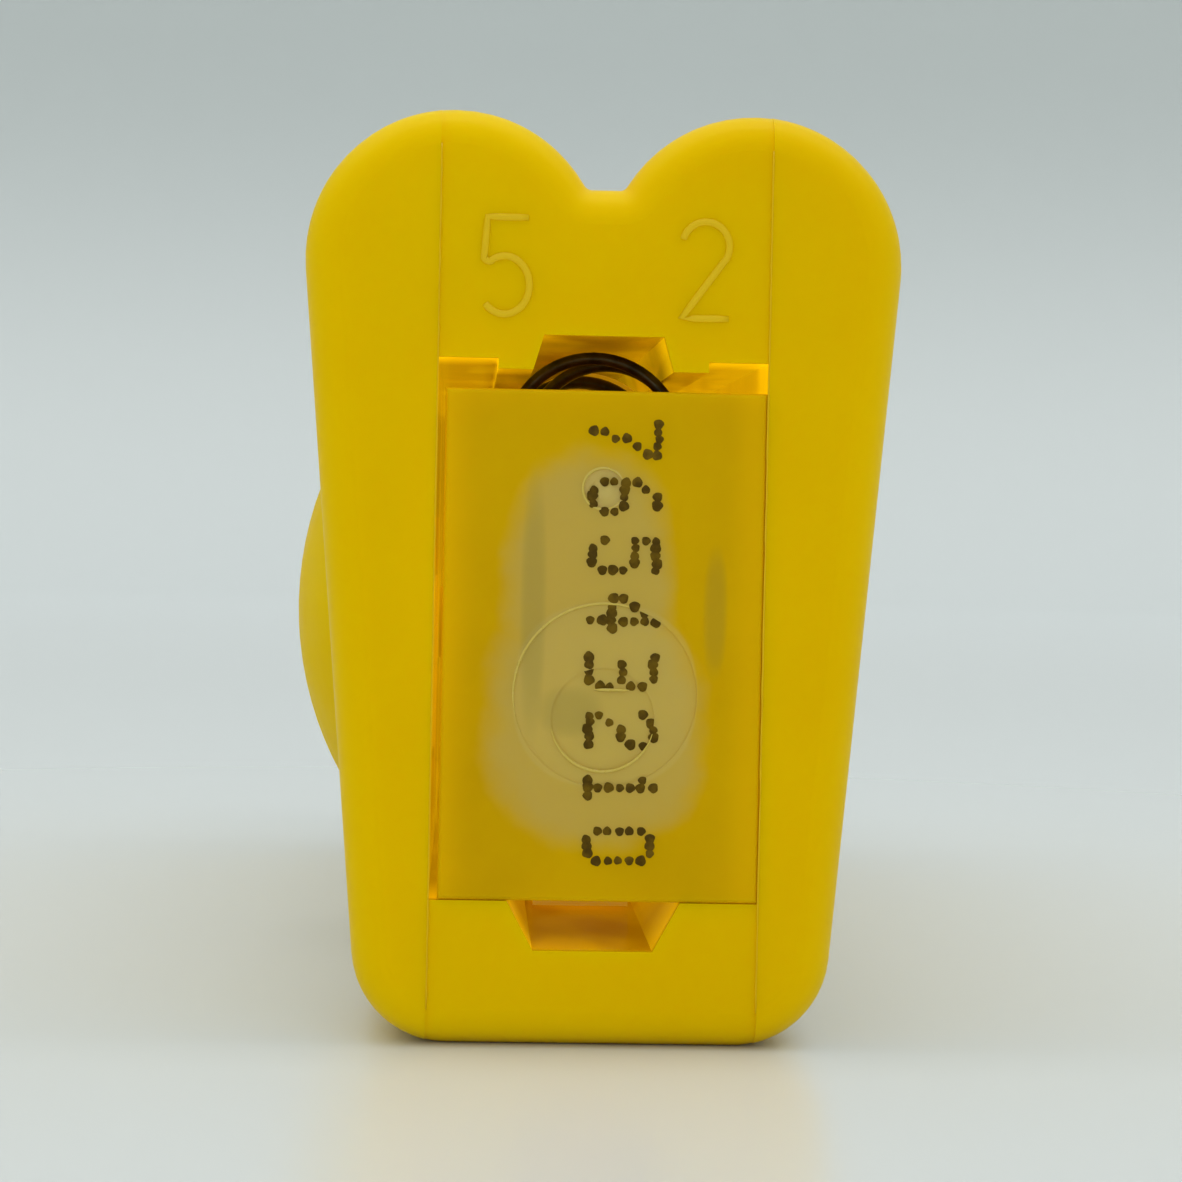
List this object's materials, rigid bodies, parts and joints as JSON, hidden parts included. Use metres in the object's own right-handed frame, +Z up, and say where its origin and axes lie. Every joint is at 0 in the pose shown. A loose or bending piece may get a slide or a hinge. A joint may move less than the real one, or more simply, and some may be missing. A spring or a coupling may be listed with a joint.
{
  "type": "safety lancet",
  "caption": "Single-use safety lancet: two-lobed sleeve, clear end block, sprung needle carriage, domed side release button and twist-off needle cap.",
  "frame": {"origin": "middle of the flat foot that the housing stands on", "axes": "+Y along the needle line towards the cap, +Z up from the foot to the two lobes, the open end faces -Y and the release button is on the -X flank"},
  "size_m": [0.0171, 0.059, 0.025],
  "materials": {
    "yellow_plastic": "satin moulded",
    "natural_plastic": "translucent, frosted inside",
    "white_plastic": "satin moulded",
    "cap_plastic": "waxy, slightly translucent",
    "spring_steel": "dark drawn wire",
    "needle_steel": "ground and polished"
  },
  "bodies": {
    "housing": {"housing": "yellow_plastic", "end_block": "natural_plastic", "drive_spring": "spring_steel", "return_spring": "spring_steel", "button_spring": "spring_steel", "latch_pin": "needle_steel"},
    "carriage": {"lancet_carriage": "white_plastic", "needle_hub": "cap_plastic", "needle": "needle_steel"},
    "neck": {"breakaway_neck": "cap_plastic"},
    "cap": {"needle_cap": "cap_plastic"},
    "button": {"release_button": "yellow_plastic"},
    "latch": {"trigger_latch": "white_plastic"}
  },
  "joints": [
    {"name": "button_press", "type": "slide", "parent": "housing", "child": "button", "axis": [0.9964, 0, 0.0842], "range_m": [0, 0.001], "stiffness_N_per_m": 600, "springref_m": -0.0005, "deforming": ["button_spring"]},
    {"name": "latch_release", "type": "hinge", "parent": "housing", "child": "latch", "pos_m": [-0.0032, -0.0095, 0.0096], "axis": [0, 0, 1], "range_deg": [-8.2, 0]},
    {"name": "needle_stroke", "type": "slide", "parent": "housing", "child": "carriage", "axis": [0, 1, 0], "range_m": [0, 0.0075], "stiffness_N_per_m": 30, "deforming": ["drive_spring", "return_spring"]},
    {"name": "cap_twist", "type": "hinge", "parent": "carriage", "child": "neck", "pos_m": [0, 0.0088, 0.01615], "axis": [0, 1, 0], "continuous": true},
    {"name": "cap_pull", "type": "slide", "parent": "neck", "child": "cap", "axis": [0, 1, 0], "range_m": [0, 0.018]}
  ],
  "couplings": [
    {"joint": "latch_release", "follows": "button_press", "rad_per_m": -142}
  ]
}
